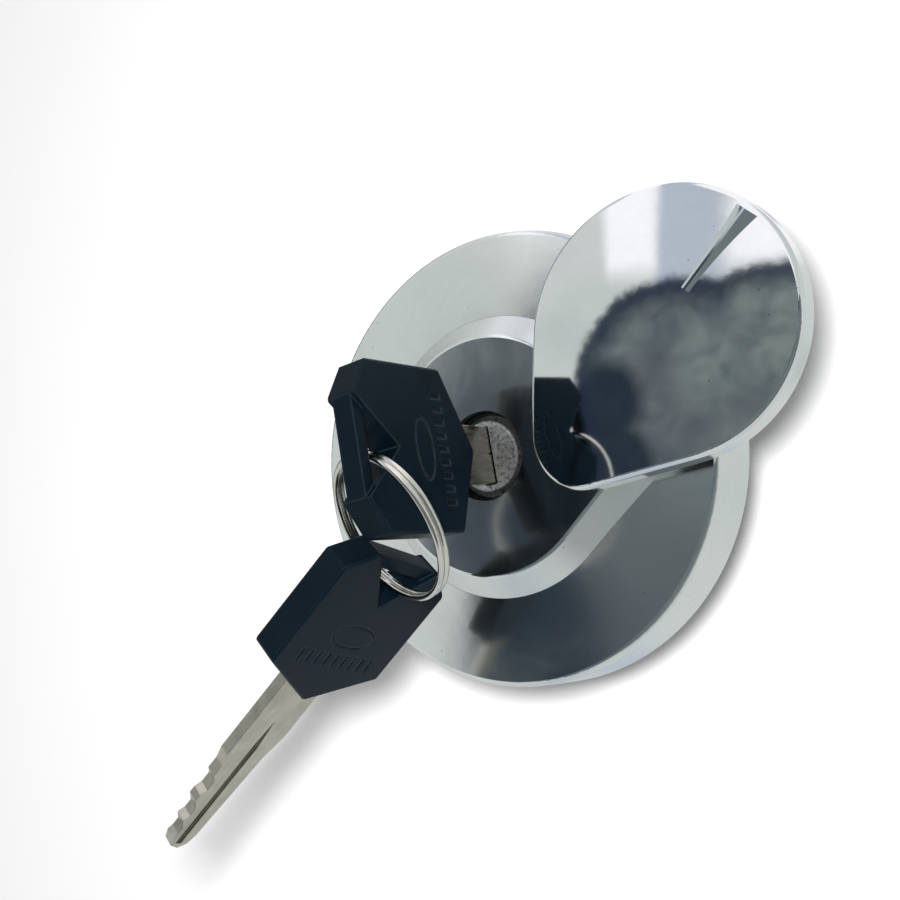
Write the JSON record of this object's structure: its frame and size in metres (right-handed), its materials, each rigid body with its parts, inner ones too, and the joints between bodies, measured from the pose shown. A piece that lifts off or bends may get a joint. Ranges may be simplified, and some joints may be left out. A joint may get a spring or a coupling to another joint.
{
  "type": "locking fuel tank cap",
  "caption": "Chrome locking fuel tank cap with a raised teardrop boss, a swinging keyhole cover, a wafer lock, sliding latch tongues and keys on a split ring.",
  "frame": {"origin": "lock axis where it meets the sealing plane: the underside of the neck gasket, level with the shell's rim", "axes": "+Z along the lock axis out of the tank; +X from the lock towards the cover's pivot side of the boss; +Y completes a right-handed frame"},
  "size_m": [0.103, 0.1127, 0.0837],
  "materials": {
    "chrome_plate": "polished chrome plating with light handling marks",
    "cast_zinc": "as-cast zinc alloy, slightly granular",
    "zinc_plate": "bright zinc-plated steel",
    "spring_steel": "drawn spring steel",
    "wafer_brass": "stamped brass",
    "key_nickel": "nickel-plated brass, milled edges",
    "ring_nickel": "bright nickel-plated round wire",
    "key_plastic": "moulded satin black plastic",
    "acetal": "moulded black acetal",
    "seal_rubber": "matt nitrile rubber"
  },
  "bodies": {
    "cap": {"outer_shell": "chrome_plate", "base_body": "cast_zinc", "shell_screws": "zinc_plate", "lock_housing": "cast_zinc", "housing_o_ring": "seal_rubber", "latch_carrier": "acetal", "latch_cover": "acetal", "carrier_screws": "zinc_plate", "vent_retainer": "acetal", "vent_spring": "spring_steel", "cover_spring_washer": "spring_steel", "latch_spring": "spring_steel", "seal_spring": "spring_steel"},
    "cover": {"keyhole_cover": "chrome_plate", "cover_pivot_stud": "zinc_plate", "cover_clip": "spring_steel"},
    "plug": {"lock_plug": "cast_zinc", "lock_wafers": "wafer_brass", "plug_circlip": "spring_steel", "latch_cam": "zinc_plate"},
    "tongue_left": {"latch_tongue_left": "zinc_plate"},
    "tongue_right": {"latch_tongue_right": "zinc_plate"},
    "seal": {"seal_plate": "zinc_plate", "neck_gasket": "seal_rubber"},
    "vent": {"vent_ball": "spring_steel"},
    "key_1": {"key_1_head": "key_plastic", "key_1_blade": "key_nickel"},
    "ring": {"split_ring": "ring_nickel"},
    "key_2": {"key_2_head": "key_plastic", "key_2_blade": "key_nickel"}
  },
  "joints": [
    {"name": "cover_swing", "type": "hinge", "parent": "cap", "child": "cover", "pos_m": [0.0221, 0.0025, 0.016], "axis": [0, 0, 1], "range_deg": [-120, 57]},
    {"name": "plug_turn", "type": "hinge", "parent": "cap", "child": "plug", "pos_m": [0, 0, 0.015], "axis": [0, 0, -1], "range_deg": [0, 90]},
    {"name": "latch_right_slide", "type": "slide", "parent": "cap", "child": "tongue_right", "axis": [-1, 0, 0], "range_m": [0, 0.004], "deforming": ["latch_spring"]},
    {"name": "latch_left_slide", "type": "slide", "parent": "cap", "child": "tongue_left", "axis": [1, 0, 0], "range_m": [0, 0.004], "deforming": ["latch_spring"]},
    {"name": "seal_press", "type": "slide", "parent": "cap", "child": "seal", "axis": [0, 0, 1], "range_m": [0, 0.0014], "stiffness_N_per_m": 1500, "springref_m": -0.004, "deforming": ["seal_spring"]},
    {"name": "vent_lift", "type": "slide", "parent": "cap", "child": "vent", "axis": [0, 0, 1], "range_m": [0, 0.0012], "stiffness_N_per_m": 40, "springref_m": -0.003, "deforming": ["vent_spring"]},
    {"name": "key_1_slide", "type": "slide", "parent": "plug", "child": "key_1", "axis": [0, 0, 1], "range_m": [0, 0.031]},
    {"name": "ring_swing", "type": "hinge", "parent": "key_1", "child": "ring", "pos_m": [0.00019, -0.00092, 0.04923], "axis": [0.9611, -0.1466, 0.2343], "range_deg": [-120, 3]},
    {"name": "key_2_swing", "type": "hinge", "parent": "ring", "child": "key_2", "pos_m": [-0.00547, -0.02177, 0.03662], "axis": [-0.8647, 0.5018, -0.0196], "range_deg": [-40, 8]}
  ],
  "couplings": [
    {"joint": "latch_right_slide", "follows": "plug_turn", "m_per_rad": 0.0025465},
    {"joint": "latch_left_slide", "follows": "plug_turn", "m_per_rad": 0.0025465}
  ]
}
